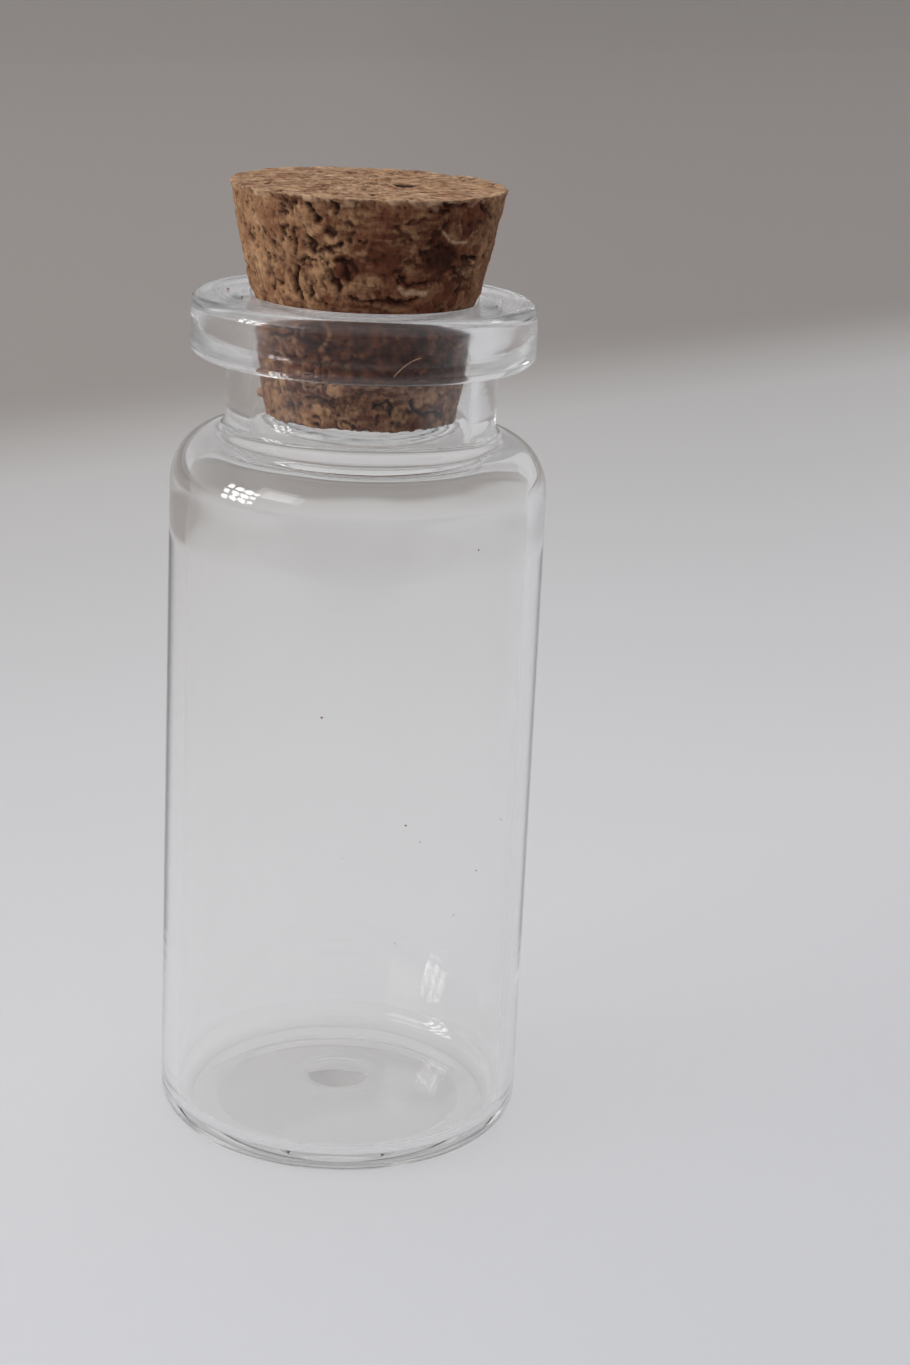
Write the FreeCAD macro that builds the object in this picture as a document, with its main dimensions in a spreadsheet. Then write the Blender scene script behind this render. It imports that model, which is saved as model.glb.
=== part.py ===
import FreeCAD, Part
import math
import os

import Sketcher

# A corked glass vial. It stands on the XY plane with its axis on Z, and the origin is at the
# middle of its base. All sizes are in millimetres.

document = FreeCAD.newDocument("CorkedVial")
sheet = document.addObject("Spreadsheet::Sheet", "Sizes")

# Driving dimensions: name, value, what it measures
driving_sizes = [
    ("vial_height", 50.5, "standing ring to the top of the flange"),
    ("body_diameter", 22.0, "outside of the straight wall"),
    ("wall_thickness", 1.0, "straight wall and shoulder"),
    ("heel_radius", 1.7, "outer rounding between wall and base"),
    ("inner_heel_radius", 1.4, "inner rounding between wall and floor"),
    ("ring_inner_diameter", 14.8, "inner edge of the flat ring that the vial stands on"),
    ("push_up", 0.8, "height of the hollow under the base, at its middle"),
    ("floor_thickness", 1.2, "glass between the hollow and the inner floor"),
    ("button_diameter", 4.2, "button left in the middle of the floor where the tube was closed"),
    ("button_height", 0.35, "rise of the button above the domed floor"),
    ("shoulder_radius", 3.3, "outer curve from the wall towards the neck"),
    ("neck_length", 4.2, "underside of the flange to the crown of the shoulder"),
    ("neck_diameter", 15.7, "outside of the neck"),
    ("gather", 0.15, "how much thicker the wall is where it meets the shoulder"),
    ("gather_length", 3.5, "height over which the wall thickens"),
    ("neck_root_radius", 0.5, "rounding between neck and shoulder"),
    ("throat_radius", 2.6, "inner rounding from the shoulder into the bore"),
    ("bore_diameter", 12.6, "inside of the neck"),
    ("mouth_radius", 0.45, "rounding of the bore at the mouth"),
    ("flange_diameter", 19.95, "outside of the flange"),
    ("flange_thickness", 3.5, "height of the flange"),
    ("flange_top_radius", 0.75, "upper outer edge of the flange"),
    ("flange_foot_radius", 0.6, "lower outer edge of the flange"),
    ("flange_root_radius", 0.4, "rounding between flange and neck"),
    ("cork_length", 13.2, "whole length of the cork"),
    ("cork_depth", 6.8, "length of the cork below the top of the flange"),
    ("cork_top_diameter", 15.9, "wide end of the cork"),
    ("cork_tip_diameter", 11.0, "narrow end of the cork"),
    ("cork_gap", 0.03, "gap left between the squeezed cork and the bore"),
    ("seat_length", 1.2, "length of the cork that the bore holds to its own width"),
    ("seat_rise", 0.15, "how far that length reaches into the rounded mouth"),
    ("swell_diameter", 13.3, "cork just above the flange, where it swells out of the bore's grip"),
    ("swell_height", 0.4, "height of that place above the top of the flange"),
    ("cork_top_edge", 0.2, "worn rounding of the wide end"),
    ("cork_tip_edge", 0.2, "worn rounding of the narrow end"),
]

for row, (name, value, meaning) in enumerate(driving_sizes, start=1):
    sheet.set("A%d" % row, name)
    sheet.set("B%d" % row, str(value))
    sheet.set("C%d" % row, meaning)
    sheet.setAlias("B%d" % row, name)
document.recompute()


def size(name):
    return float(sheet.get(name))


def between(start, end, share):
    # The point this share of the way from start to end
    return tuple(s + (e - s) * share for s, e in zip(start, end))


# Formulas that more than one sketch uses
body_radius = "Sizes.body_diameter / 2"
inner_radius = "(Sizes.body_diameter / 2 - Sizes.wall_thickness)"
bore_radius = "Sizes.bore_diameter / 2"
flange_underside = "(Sizes.vial_height - Sizes.flange_thickness)"
shoulder_height = flange_underside + " - Sizes.neck_length - Sizes.shoulder_radius"
hollow_radius = "((Sizes.ring_inner_diameter / 2)^2 + Sizes.push_up^2) / (2 * Sizes.push_up)"
floor_radius = "(" + hollow_radius + " + Sizes.floor_thickness)"
floor_crown = "(Sizes.push_up + Sizes.floor_thickness)"


class Outline:
    # A closed half-section on the XZ plane of a body, drawn edge by edge around its loop.
    # Each edge remembers which of its ends comes first in the loop.

    def __init__(self, body, name):
        self.sketch = body.newObject("Sketcher::SketchObject", name)
        planes = [f for f in body.Origin.OriginFeatures if f.Role == "XZ_Plane"]
        self.sketch.AttachmentSupport = [(planes[0], "")]
        self.sketch.MapMode = "FlatFace"

    def line(self, start, end):
        ends = [FreeCAD.Vector(x, y, 0) for x, y in (start, end)]
        index = self.sketch.addGeometry(Part.LineSegment(*ends))
        return index, 1, 2

    def arc(self, centre, start, end, clockwise=False):
        radius = math.dist(centre, start)
        circle = Part.Circle(FreeCAD.Vector(*centre, 0), FreeCAD.Vector(0, 0, 1), radius)
        angles = [math.atan2(y - centre[1], x - centre[0]) for x, y in (start, end)]
        if clockwise:
            angles.reverse()
        index = self.sketch.addGeometry(Part.ArcOfCircle(circle, *angles))
        return (index, 2, 1) if clockwise else (index, 1, 2)

    def relate(self, kind, *where):
        return self.sketch.addConstraint(Sketcher.Constraint(kind, *where))

    def join(self, first, second):
        self.relate("Coincident", first[0], first[2], second[0], second[1])

    def blend(self, first, second):
        self.relate("Tangent", first[0], first[2], second[0], second[1])

    def upright(self, *edges):
        for edge in edges:
            self.relate("Vertical", edge[0])

    def level(self, *edges):
        for edge in edges:
            self.relate("Horizontal", edge[0])

    def on_axis(self, edge, point):
        self.relate("PointOnObject", edge[0], point, -2)

    def measure(self, name, formula, kind, *where):
        # The dimension takes its first value from the drawing, then follows the formula
        index = self.relate(kind, *where, self.drawn(kind, where))
        self.sketch.renameConstraint(index, name)
        self.sketch.setExpression("Constraints." + name, formula)

    def drawn(self, kind, where):
        if kind == "Radius":
            return self.sketch.Geometry[where[0]].Radius
        points = [self.sketch.getPoint(*where[i:i + 2]) for i in range(0, len(where), 2)]
        if len(points) == 1:
            points.insert(0, FreeCAD.Vector(0, 0, 0))
        step = points[1] - points[0]
        return step.x if kind == "DistanceX" else step.y


def turn(body, kind, name, outline):
    # A full turn of an outline about the axis: a Revolution adds it, a Groove cuts it away
    feature = body.newObject("PartDesign::" + kind, name)
    feature.Profile = outline.sketch
    feature.ReferenceAxis = (outline.sketch, ["V_Axis"])
    feature.Angle = 360
    outline.sketch.Visibility = False
    document.recompute()


def round_ring(body, name, ring_radius, height, radius_name):
    # A rounding along the circular edge that has this radius at this height
    base = body.Tip
    close = 0.001
    edges = []
    for number, edge in enumerate(base.Shape.Edges, start=1):
        if edge.Degenerated or not isinstance(edge.Curve, Part.Circle):
            continue
        same_ring = abs(edge.Curve.Radius - ring_radius) < close
        if same_ring and abs(edge.Curve.Center.z - height) < close:
            edges.append("Edge%d" % number)
    if not edges:
        raise RuntimeError("no ring for " + name)
    fillet = body.newObject("PartDesign::Fillet", name)
    fillet.Base = (base, edges)
    fillet.setExpression("Radius", "Sizes." + radius_name)
    document.recompute()


# Glass vial: one piece of tube, closed at the base and shaped into shoulder, neck and flange
vial = document.addObject("PartDesign::Body", "GlassVial")
vial.Label = "glass_vial"

height = size("vial_height")
outer = size("body_diameter") / 2
inner = outer - size("wall_thickness")
bore = size("bore_diameter") / 2
neck = size("neck_diameter") / 2
flange = size("flange_diameter") / 2
underside = height - size("flange_thickness")
ring = size("ring_inner_diameter") / 2
hollow = (ring ** 2 + size("push_up") ** 2) / (2 * size("push_up"))
hollow_centre = (0, size("push_up") - hollow)
shoulder = size("shoulder_radius")
shoulder_centre = (outer - shoulder, underside - size("neck_length") - shoulder)
root = size("neck_root_radius")
root_reach = neck + root - shoulder_centre[0]
root_height = shoulder_centre[1] + math.sqrt((shoulder + root) ** 2 - root_reach ** 2)
root_centre = (neck + root, root_height)
root_start = between(shoulder_centre, root_centre, shoulder / (shoulder + root))

# The outside, as a solid of revolution
blank = Outline(vial, "BlankOutline")
hollow_edge = blank.arc(hollow_centre, (0, size("push_up")), (ring, 0), clockwise=True)
base_edge = blank.line((ring, 0), (outer, 0))
wall_edge = blank.line((outer, 0), (outer, shoulder_centre[1]))
shoulder_edge = blank.arc(shoulder_centre, (outer, shoulder_centre[1]), root_start)
root_edge = blank.arc(root_centre, root_start, (neck, root_height), clockwise=True)
neck_edge = blank.line((neck, root_height), (neck, underside))
underside_edge = blank.line((neck, underside), (flange, underside))
flange_edge = blank.line((flange, underside), (flange, height))
top_edge = blank.line((flange, height), (0, height))
axis_edge = blank.line((0, height), (0, size("push_up")))
blank.join(hollow_edge, base_edge)
blank.join(base_edge, wall_edge)
blank.blend(wall_edge, shoulder_edge)
blank.blend(shoulder_edge, root_edge)
blank.blend(root_edge, neck_edge)
blank.join(neck_edge, underside_edge)
blank.join(underside_edge, flange_edge)
blank.join(flange_edge, top_edge)
blank.join(top_edge, axis_edge)
blank.join(axis_edge, hollow_edge)
blank.level(base_edge, underside_edge, top_edge)
blank.upright(wall_edge, neck_edge, flange_edge, axis_edge)
blank.on_axis(hollow_edge, 3)
blank.on_axis(axis_edge, 1)
blank.relate("PointOnObject", base_edge[0], 1, -1)
blank.measure("ring_width", "Sizes.ring_inner_diameter / 2", "DistanceX", base_edge[0], 1)
blank.measure("body_width", body_radius, "DistanceX", wall_edge[0], 1)
blank.measure("wall_top", shoulder_height, "DistanceY", wall_edge[0], 2)
blank.measure("shoulder_curve", "Sizes.shoulder_radius", "Radius", shoulder_edge[0])
blank.measure("root_curve", "Sizes.neck_root_radius", "Radius", root_edge[0])
blank.measure("neck_width", "Sizes.neck_diameter / 2", "DistanceX", neck_edge[0], 2)
blank.measure("underside_height", flange_underside, "DistanceY", neck_edge[0], 2)
blank.measure("flange_width", "Sizes.flange_diameter / 2", "DistanceX", flange_edge[0], 2)
blank.measure("whole_height", "Sizes.vial_height", "DistanceY", flange_edge[0], 2)
blank.measure("hollow_height", "Sizes.push_up", "DistanceY", axis_edge[0], 2)
turn(vial, "Revolution", "Blank", blank)

# The inside: a domed floor with its button, the straight wall, the throat and the bore
floor = hollow + size("floor_thickness")
floor_top = size("push_up") + size("floor_thickness")
button = size("button_diameter") / 2
button_foot = hollow_centre[1] + math.sqrt(floor ** 2 - button ** 2)
button_top = floor_top + size("button_height")
button_rise = button_top - button_foot
button_curve = (button ** 2 + button_rise ** 2) / (2 * button_rise)
button_centre = (0, button_top - button_curve)
heel = size("inner_heel_radius")
heel_height = hollow_centre[1] + math.sqrt((floor + heel) ** 2 - (inner - heel) ** 2)
heel_centre = (inner - heel, heel_height)
valley = between(hollow_centre, heel_centre, floor / (floor + heel))
gathered = inner - size("gather")
gather_foot = shoulder_centre[1] - size("gather_length")
lining = gathered - shoulder_centre[0]
throat = size("throat_radius")
throat_reach = bore + throat - shoulder_centre[0]
throat_height = shoulder_centre[1] + math.sqrt((lining + throat) ** 2 - throat_reach ** 2)
throat_centre = (bore + throat, throat_height)
throat_start = between(shoulder_centre, throat_centre, lining / (lining + throat))

cavity = Outline(vial, "CavityOutline")
button_edge = cavity.arc(button_centre, (0, button_top), (button, button_foot), clockwise=True)
floor_edge = cavity.arc(hollow_centre, (button, button_foot), valley, clockwise=True)
heel_edge = cavity.arc(heel_centre, valley, (inner, heel_height))
wall_edge = cavity.line((inner, heel_height), (inner, gather_foot))
gather_edge = cavity.line((inner, gather_foot), (gathered, shoulder_centre[1]))
shoulder_edge = cavity.arc(shoulder_centre, (gathered, shoulder_centre[1]), throat_start)
throat_edge = cavity.arc(throat_centre, throat_start, (bore, throat_height), clockwise=True)
bore_edge = cavity.line((bore, throat_height), (bore, height))
mouth_edge = cavity.line((bore, height), (0, height))
axis_edge = cavity.line((0, height), (0, button_top))
cavity.join(button_edge, floor_edge)
cavity.blend(floor_edge, heel_edge)
cavity.blend(heel_edge, wall_edge)
cavity.join(wall_edge, gather_edge)
cavity.join(gather_edge, shoulder_edge)
cavity.blend(shoulder_edge, throat_edge)
cavity.blend(throat_edge, bore_edge)
cavity.join(bore_edge, mouth_edge)
cavity.join(mouth_edge, axis_edge)
cavity.join(axis_edge, button_edge)
cavity.upright(wall_edge, bore_edge, axis_edge)
cavity.level(mouth_edge)
cavity.on_axis(button_edge, 3)
cavity.on_axis(floor_edge, 3)
cavity.on_axis(axis_edge, 1)
cavity.measure("button_width", "Sizes.button_diameter / 2", "DistanceX", floor_edge[0], 2)
cavity.measure("button_top", floor_crown + " + Sizes.button_height", "DistanceY", axis_edge[0], 2)
cavity.measure("floor_curve", floor_radius, "Radius", floor_edge[0])
cavity.measure(
    "floor_centre_depth",
    "Sizes.vial_height - " + floor_crown + " + " + floor_radius,
    "DistanceY", floor_edge[0], 3, axis_edge[0], 1,
)
cavity.measure("heel_curve", "Sizes.inner_heel_radius", "Radius", heel_edge[0])
cavity.measure("inner_width", inner_radius, "DistanceX", wall_edge[0], 1)
cavity.measure("gather_foot", shoulder_height + " - Sizes.gather_length", "DistanceY", wall_edge[0], 2)
cavity.measure("gathered_width", inner_radius + " - Sizes.gather", "DistanceX", gather_edge[0], 2)
cavity.measure("gather_top", shoulder_height, "DistanceY", gather_edge[0], 2)
cavity.relate("Horizontal", shoulder_edge[0], 3, gather_edge[0], 2)
cavity.measure(
    "shoulder_curve",
    "Sizes.shoulder_radius - Sizes.wall_thickness - Sizes.gather",
    "Radius", shoulder_edge[0],
)
cavity.measure("throat_curve", "Sizes.throat_radius", "Radius", throat_edge[0])
cavity.measure("bore_width", bore_radius, "DistanceX", bore_edge[0], 2)
cavity.measure("whole_height", "Sizes.vial_height", "DistanceY", bore_edge[0], 2)
turn(vial, "Groove", "Cavity", cavity)

# Fire-polished edges
round_ring(vial, "HeelRounding", outer, 0, "heel_radius")
round_ring(vial, "FlangeRootRounding", neck, underside, "flange_root_radius")
round_ring(vial, "FlangeFootRounding", flange, underside, "flange_foot_radius")
round_ring(vial, "FlangeTopRounding", flange, height, "flange_top_radius")
round_ring(vial, "MouthRounding", bore, height, "mouth_radius")

# Cork stopper: a tapered cork, squeezed to the bore's width where the mouth grips it. It is
# drawn from its narrow end, and its placement puts it into the mouth.
cork = document.addObject("PartDesign::Body", "CorkStopper")
cork.Label = "cork_stopper"

cork_tip = size("cork_tip_diameter") / 2
cork_top = size("cork_top_diameter") / 2
cork_length = size("cork_length")
seat = bore - size("cork_gap")
seat_top = size("cork_depth") - size("mouth_radius") + size("seat_rise")
seat_foot = seat_top - size("seat_length")
swell = size("swell_diameter") / 2
swell_height = size("cork_depth") + size("swell_height")

plug = Outline(cork, "CorkOutline")
tip_edge = plug.line((0, 0), (cork_tip, 0))
lower_edge = plug.line((cork_tip, 0), (seat, seat_foot))
seat_edge = plug.line((seat, seat_foot), (seat, seat_top))
swell_edge = plug.line((seat, seat_top), (swell, swell_height))
upper_edge = plug.line((swell, swell_height), (cork_top, cork_length))
top_edge = plug.line((cork_top, cork_length), (0, cork_length))
axis_edge = plug.line((0, cork_length), (0, 0))
plug.join(tip_edge, lower_edge)
plug.join(lower_edge, seat_edge)
plug.join(seat_edge, swell_edge)
plug.join(swell_edge, upper_edge)
plug.join(upper_edge, top_edge)
plug.join(top_edge, axis_edge)
plug.join(axis_edge, tip_edge)
plug.level(tip_edge, top_edge)
plug.upright(seat_edge, axis_edge)
plug.on_axis(axis_edge, 1)
plug.relate("PointOnObject", tip_edge[0], 1, -1)
plug.measure("tip_width", "Sizes.cork_tip_diameter / 2", "DistanceX", tip_edge[0], 2)
plug.measure("seat_width", bore_radius + " - Sizes.cork_gap", "DistanceX", seat_edge[0], 2)
plug.measure(
    "seat_top",
    "Sizes.cork_depth - Sizes.mouth_radius + Sizes.seat_rise",
    "DistanceY", seat_edge[0], 2,
)
plug.measure("seat_length", "Sizes.seat_length", "DistanceY", seat_edge[0], 1, seat_edge[0], 2)
plug.measure("swell_width", "Sizes.swell_diameter / 2", "DistanceX", swell_edge[0], 2)
plug.measure("swell_height", "Sizes.cork_depth + Sizes.swell_height", "DistanceY", swell_edge[0], 2)
plug.measure("top_width", "Sizes.cork_top_diameter / 2", "DistanceX", upper_edge[0], 2)
plug.measure("whole_length", "Sizes.cork_length", "DistanceY", upper_edge[0], 2)
turn(cork, "Revolution", "Plug", plug)
round_ring(cork, "TopRounding", cork_top, cork_length, "cork_top_edge")
round_ring(cork, "TipRounding", cork_tip, 0, "cork_tip_edge")
cork.setExpression("Placement.Base.z", "Sizes.vial_height - Sizes.cork_depth")
document.recompute()

# Check the whole document before anything is written
for item in document.Objects:
    if "Invalid" in item.State or "Error" in item.State:
        raise RuntimeError(item.Name + " failed")
    if item.TypeId == "Sketcher::SketchObject" and not item.FullyConstrained:
        raise RuntimeError(item.Name + " isn't fully constrained")
for piece in (vial, cork):
    if piece.Shape.isNull() or not piece.Shape.isValid() or len(piece.Shape.Solids) != 1:
        raise RuntimeError(piece.Label + " isn't one valid solid")

os.makedirs("parts", exist_ok=True)
for piece in (vial, cork):
    piece.Shape.exportStep(os.path.join("parts", piece.Label + ".step"))
    print(piece.Label, "volume %.1f mm3" % piece.Shape.Volume)
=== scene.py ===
import math
import random

import bpy
import numpy as np
from mathutils import Matrix, Vector, noise


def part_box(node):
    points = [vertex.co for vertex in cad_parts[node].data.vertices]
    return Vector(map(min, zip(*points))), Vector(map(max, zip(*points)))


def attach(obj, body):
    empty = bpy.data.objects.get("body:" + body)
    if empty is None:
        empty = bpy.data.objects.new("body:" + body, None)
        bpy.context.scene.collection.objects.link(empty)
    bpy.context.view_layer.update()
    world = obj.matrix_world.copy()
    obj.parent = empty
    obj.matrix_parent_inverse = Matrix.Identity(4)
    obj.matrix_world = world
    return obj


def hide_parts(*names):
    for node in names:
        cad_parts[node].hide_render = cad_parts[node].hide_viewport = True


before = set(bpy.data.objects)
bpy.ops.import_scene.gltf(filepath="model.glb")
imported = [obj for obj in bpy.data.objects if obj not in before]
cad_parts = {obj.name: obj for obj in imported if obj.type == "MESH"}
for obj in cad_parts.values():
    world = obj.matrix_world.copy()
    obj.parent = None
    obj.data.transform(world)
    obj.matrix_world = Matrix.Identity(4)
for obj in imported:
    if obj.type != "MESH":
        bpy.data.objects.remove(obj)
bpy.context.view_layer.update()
mm = 0.001
print("frame loaded")


# Shader maths: a Wire is one output socket, and plain arithmetic on wires adds Math nodes

class Wire:
    def __init__(self, finish, socket):
        self.finish, self.socket = finish, socket

    def math(self, operation, *values, clamp=False):
        settings = {"operation": operation, "use_clamp": clamp}
        return self.finish.node("ShaderNodeMath", settings, dict(enumerate(values))).out(0)

    def __add__(self, other):
        return self.math("ADD", self, other)

    __radd__ = __add__

    def __sub__(self, other):
        return self.math("SUBTRACT", self, other)

    def __rsub__(self, other):
        return self.math("SUBTRACT", other, self)

    def __mul__(self, other):
        return self.math("MULTIPLY", self, other)

    __rmul__ = __mul__

    def __pow__(self, other):
        return self.math("POWER", self, other)

    def between(self, low, high):
        # 0 below low, 1 above high, smooth in between
        settings = {"interpolation_type": "SMOOTHSTEP"}
        inputs = {"Value": self, "From Min": low, "From Max": high}
        return self.finish.node("ShaderNodeMapRange", settings, inputs).out("Result")

    def larger(self, other):
        return self.math("MAXIMUM", self, other)

    def clamped(self):
        return self.math("ADD", self, 0.0, clamp=True)


class Node:
    def __init__(self, finish, node):
        self.finish, self.node = finish, node

    def out(self, name=0):
        return Wire(self.finish, self.node.outputs[name])


class Finish:
    # one material, or the world, and the one method that adds every node to it
    def __init__(self, name, world=None):
        self.material = world or bpy.data.materials.new(name)
        self.material.use_nodes = True
        self.tree = self.material.node_tree
        self.tree.nodes.clear()

    def node(self, kind, settings=None, inputs=None, stops=None):
        made = self.tree.nodes.new(kind)
        for name, value in (settings or {}).items():
            setattr(made, name, value)
        if stops:
            ramp = made.color_ramp
            while len(ramp.elements) < len(stops):
                ramp.elements.new(0.5)
            for element, (place, colour) in zip(ramp.elements, stops):
                element.position = place
                element.color = (*colour, 1)
        for name, value in (inputs or {}).items():
            if isinstance(value, Wire):
                self.tree.links.new(value.socket, made.inputs[name])
            else:
                made.inputs[name].default_value = value
        return Node(self, made)

    def place(self):
        return self.node("ShaderNodeTexCoord").out("Object")

    def stretched(self, scale, turn=(0, 0, 0)):
        inputs = {"Vector": self.place(), "Scale": scale, "Rotation": turn}
        return self.node("ShaderNodeMapping", None, inputs).out("Vector")

    def noise(self, vector, scale, detail=4.0, roughness=0.5, distortion=0.0):
        inputs = {
            "Vector": vector, "Scale": scale, "Detail": detail, "Roughness": roughness,
            "Distortion": distortion,
        }
        return self.node("ShaderNodeTexNoise", None, inputs).out("Fac")

    def attribute(self, name):
        return self.node("ShaderNodeAttribute", {"attribute_name": name}).out("Fac")

    def mix(self, share, first, second, blend="MIX"):
        settings = {"data_type": "RGBA", "blend_type": blend}
        made = self.node("ShaderNodeMix", settings)
        colours = [colour if isinstance(colour, Wire) else (*colour, 1) for colour in (first, second)]
        for socket, value in zip((0, 6, 7), (share, *colours)):
            if isinstance(value, Wire):
                self.tree.links.new(value.socket, made.node.inputs[socket])
            else:
                made.node.inputs[socket].default_value = value
        return made.out(2)

    def ramp(self, value, stops):
        return self.node("ShaderNodeValToRGB", None, {"Fac": value}, stops).out("Color")

    def shine(self, shader, volume=None):
        made = self.node("ShaderNodeOutputMaterial", None, {"Surface": shader})
        if volume:
            self.tree.links.new(volume.socket, made.node.inputs["Volume"])
        return self.material


# Camera: fitted to the photograph's outline of the vial

cameraView = {
    "lens": 69.72,  # mm, for the 36 mm side of the frame
    "distance": 151.06 * mm,
    "height": 73.92 * mm,
    "lookDown": 17.067,
    "turn": 2.342,
    "roll": 2.692,
}


def makeCamera(view):
    lens = bpy.data.cameras.new("camera")
    lens.sensor_width = 36
    lens.lens = view["lens"]
    lens.clip_start = 0.005
    camera = bpy.data.objects.new("camera", lens)
    bpy.context.scene.collection.objects.link(camera)
    turn = Matrix.Rotation(math.radians(-view["turn"]), 4, "Z")
    tilt = Matrix.Rotation(math.radians(90 - view["lookDown"]), 4, "X")
    roll = Matrix.Rotation(math.radians(view["roll"]), 4, "Z")
    place = Matrix.Translation((0, -view["distance"], view["height"]))
    camera.matrix_world = place @ turn @ tilt @ roll
    bpy.context.scene.camera = camera


makeCamera(cameraView)
print("camera ready")


# Stage: a pale floor that darkens behind and rises into a backdrop, and soft light from a window

stage = {
    "width": 3.6,
    "behind": 0.75,  # where the floor starts to rise, along the backdrop's own direction
    "rise": 0.3,
    "height": 0.9,
    "slant": 40,
    # distance behind the vial in mm, and the colour there
    "tones": [
        (-40, (0.605, 0.61, 0.63)), (15, (0.63, 0.63, 0.645)), (154, (0.475, 0.463, 0.455)),
        (190, (0.327, 0.305, 0.29)), (201, (0.31, 0.285, 0.27)), (700, (0.35, 0.325, 0.305)),
    ],
    "fadeFrom": -20, "fadeTo": 60, "fade": 0.93,  # and less light reaches the right
    # painted shadow: the floor in front of what the camera sees is darkened, standing in for shade from
    # the camera's side
    "frontStart": -118,  # in front of what the camera sees, the floor darkens, as behind
    "frontEnd": -172,
    "frontTone": 0.3,
    "upperHeights": (0.085, 0.15),  # above what the camera sees, the backdrop gets paler
    "upperTone": (0.92, 0.91, 0.91),
}

room = {
    "dim": (0.18, 0.18, 0.185),  # what the front and the right give
    "bright": (1.40, 1.40, 1.42),  # what the upper left gives
    "from": (-0.62, 0.18, 0.76),
    "inGlass": (0.57, 0.57, 0.575),  # the even tone that shows in the glass
}

window = {
    "turn": -100, "lift": 16, "distance": 0.9,
    "width": 0.30, "height": 0.36, "columns": 3, "rows": 3, "bar": 0.045, "glow": 14.0,
}
sheen = {
    "turn": -126, "lift": 30, "distance": 1.0,
    "width": 0.44, "height": 0.30, "columns": 1, "rows": 1, "bar": 0.0, "glow": 2.2,
}


def floorFinish(settings):
    finish = Finish("paleFloor")
    parts = finish.node("ShaderNodeSeparateXYZ", None, {"Vector": finish.place()})
    across, back = math.sin(math.radians(settings["slant"])), math.cos(math.radians(settings["slant"]))
    distance = parts.out("Y") * back - parts.out("X") * across
    near, far = settings["tones"][0][0], settings["tones"][-1][0]
    share = (distance * (1 / mm) - near) * (1 / (far - near))
    stops = [((place - near) / (far - near), colour) for place, colour in settings["tones"]]
    upper = parts.out("Z").between(*settings["upperHeights"])
    colour = finish.mix(upper, finish.ramp(share, stops), settings["upperTone"])
    # painted shadow: the floor in front of what the camera sees is darkened, standing in for shade from
    # the camera's side, so the glass reflects less of it
    front = (parts.out("Y") * (-1 / mm)).between(-settings["frontStart"], -settings["frontEnd"])
    darker = finish.mix(front, (1, 1, 1), (settings["frontTone"],) * 3)
    colour = finish.mix(1.0, colour, darker, "MULTIPLY")
    # painted shade: the floor's colour is darkened towards the right, where less light from the window
    # reaches
    right = (parts.out("X") * (1 / mm)).between(settings["fadeFrom"], settings["fadeTo"])
    faded = finish.mix(right, (1, 1, 1), (settings["fade"],) * 3)
    colour = finish.mix(1.0, colour, faded, "MULTIPLY")
    paint = finish.node("ShaderNodeBsdfDiffuse", None, {"Color": colour}).out()
    return finish.shine(paint)


def makeFloor(settings):
    bpy.ops.object.select_all(action="DESELECT")
    width, behind, rise = settings["width"], settings["behind"], settings["rise"]
    bpy.ops.mesh.primitive_plane_add(size=width, location=(0, behind - width / 2, 0))
    floor = bpy.context.object
    floor.name = "floor"
    bpy.ops.object.transform_apply()
    for vertex in floor.data.vertices:
        vertex.select = vertex.co.y > behind - 0.01
    for edge in floor.data.edges:
        edge.select = all(floor.data.vertices[i].select for i in edge.vertices)
    for face in floor.data.polygons:
        face.select = False
    bpy.ops.object.mode_set(mode="EDIT")
    bpy.ops.mesh.spin(steps=24, angle=-math.pi / 2, center=(0, behind, rise), axis=(1, 0, 0))
    bpy.ops.mesh.extrude_region_move(TRANSFORM_OT_translate={"value": (0, 0, settings["height"])})
    bpy.ops.object.mode_set(mode="OBJECT")
    bpy.ops.object.shade_smooth()
    floor.rotation_euler.z = math.radians(settings["slant"])
    bpy.ops.object.transform_apply()
    floor.data.materials.append(floorFinish(settings))


def makeRoom(settings):
    world = bpy.data.worlds.new("studio")
    bpy.context.scene.world = world
    finish = Finish("studio", world)
    way = finish.node("ShaderNodeTexCoord").out("Generated")
    aim = Vector(settings["from"]).normalized()
    facing = finish.node("ShaderNodeVectorMath", {"operation": "DOT_PRODUCT"}, {0: way, 1: aim})
    light = finish.mix(facing.out("Value").between(-0.5, 1.0), settings["dim"], settings["bright"])
    path = finish.node("ShaderNodeLightPath")
    inGlass = path.out("Is Transmission Ray").larger(path.out("Is Glossy Ray"))
    shown = finish.mix(inGlass, light, settings["inGlass"])
    glow = finish.node("ShaderNodeBackground", None, {"Color": shown}).out()
    finish.node("ShaderNodeOutputWorld", None, {"Surface": glow})


def makeWindow(name, settings):
    # one lamp for each pane, all facing the vial
    turn, lift = math.radians(settings["turn"]), math.radians(settings["lift"])
    way = Vector((math.sin(turn) * math.cos(lift), math.cos(turn) * math.cos(lift), math.sin(lift)))
    side = Vector((0, 0, 1)).cross(way).normalized()
    upward = way.cross(side)
    columns, rows, bar = settings["columns"], settings["rows"], settings["bar"]
    paneWidth = (settings["width"] - bar * (columns - 1)) / columns
    paneHeight = (settings["height"] - bar * (rows - 1)) / rows
    for column in range(columns):
        for row in range(rows):
            light = bpy.data.lights.new(name, "AREA")
            light.shape = "RECTANGLE"
            light.size, light.size_y = paneWidth, paneHeight
            light.energy = settings["glow"] * math.pi * paneWidth * paneHeight
            lamp = bpy.data.objects.new(name, light)
            bpy.context.scene.collection.objects.link(lamp)
            lamp.location = (
                way * settings["distance"] + Vector((0, 0, 0.03))
                + side * (column - (columns - 1) / 2) * (paneWidth + bar)
                + upward * (row - (rows - 1) / 2) * (paneHeight + bar)
            )
            lamp.rotation_euler = (-way).to_track_quat("-Z", "Y").to_euler()


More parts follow.
